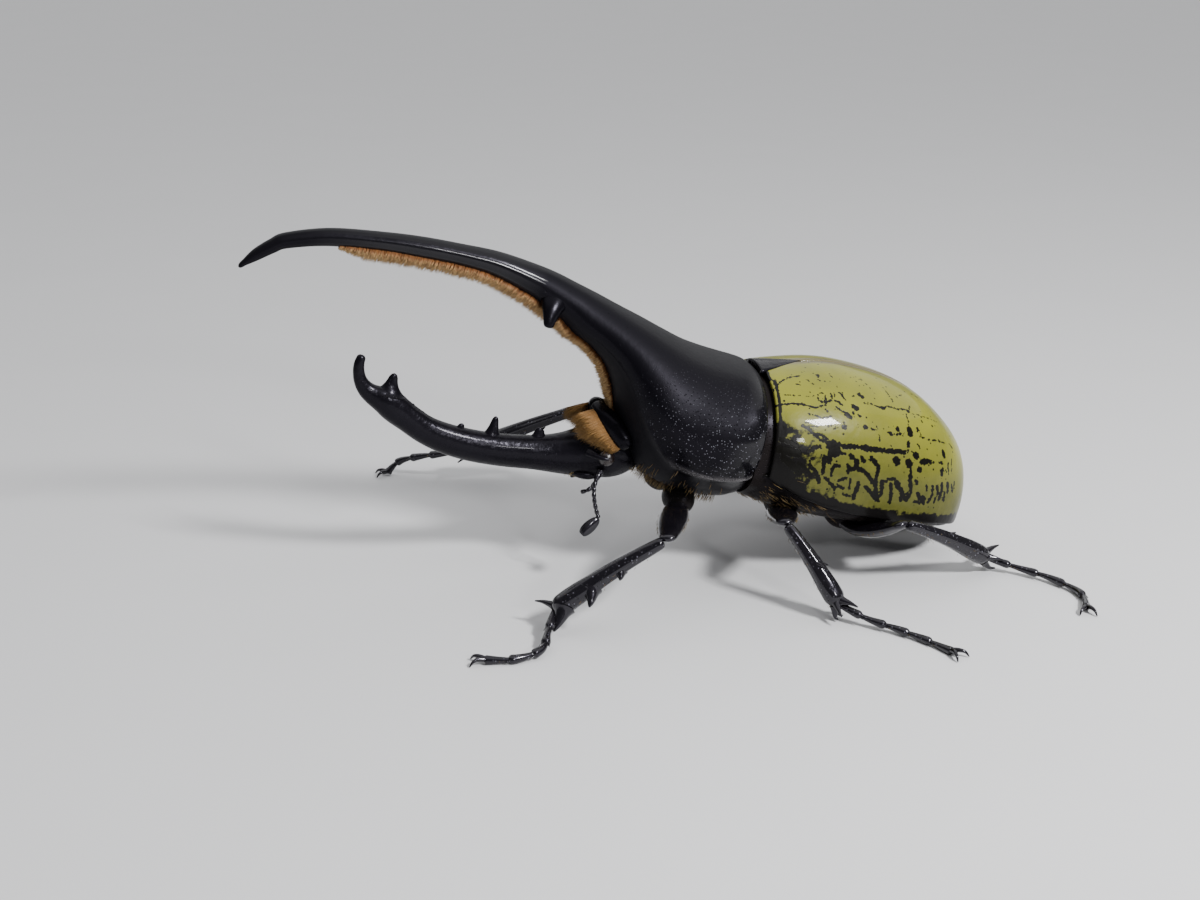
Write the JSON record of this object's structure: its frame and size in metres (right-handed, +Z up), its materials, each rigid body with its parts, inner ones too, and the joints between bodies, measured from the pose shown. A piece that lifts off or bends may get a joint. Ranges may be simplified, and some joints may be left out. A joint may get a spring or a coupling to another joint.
{
  "type": "hercules beetle",
  "caption": "Still, life-size hercules beetle: long upper horn with a golden brush over a toothed lower horn, black forebody, spotted olive wing cases and walking legs.",
  "frame": {"origin": "on the floor under the middle of the animal's box", "axes": "+X towards the rear, along the horns and body; +Y towards its right side; +Z up"},
  "size_m": [0.157, 0.1168, 0.0699],
  "materials": {
    "black_shell": "polished black shell with a blue-violet sheen",
    "satin_shell": "satin black shell, glossier on the sides, finely pitted low down",
    "olive_case": "glossy olive-yellow shell with black dots and branching streaks",
    "belly_shell": "glossy black plates with fine cross furrows",
    "leg_shell": "glossy pitted black shell",
    "eye": "dark brown, finely faceted and wet-looking",
    "golden_hair": "dense short golden-orange bristle"
  },
  "bodies": {
    "root": {"abdomen": "belly_shell", "antenna_left": "leg_shell", "antenna_right": "leg_shell", "cephalic_horn": "black_shell", "coxa_front_left": "leg_shell", "coxa_front_right": "leg_shell", "coxa_hind_left": "leg_shell", "coxa_hind_right": "leg_shell", "coxa_middle_left": "leg_shell", "coxa_middle_right": "leg_shell", "elytron_left": "olive_case", "elytron_right": "olive_case", "eye_left": "eye", "eye_right": "eye", "femur_front_left": "leg_shell", "femur_front_right": "leg_shell", "femur_hind_left": "leg_shell", "femur_hind_right": "leg_shell", "femur_middle_left": "leg_shell", "femur_middle_right": "leg_shell", "head": "black_shell", "mandible_left": "black_shell", "mandible_right": "black_shell", "metathorax": "belly_shell", "palp_left": "leg_shell", "palp_right": "leg_shell", "pronotum": "satin_shell", "pygidium": "belly_shell", "scutellum": "black_shell", "tarsus_front_left": "leg_shell", "tarsus_front_right": "leg_shell", "tarsus_hind_left": "leg_shell", "tarsus_hind_right": "leg_shell", "tarsus_middle_left": "leg_shell", "tarsus_middle_right": "leg_shell", "thoracic_horn_front": "black_shell", "thoracic_horn_rear": "black_shell", "tibia_front_left": "leg_shell", "tibia_front_right": "leg_shell", "tibia_hind_left": "leg_shell", "tibia_hind_right": "leg_shell", "tibia_middle_left": "leg_shell", "tibia_middle_right": "leg_shell"}
  },
  "joints": []
}
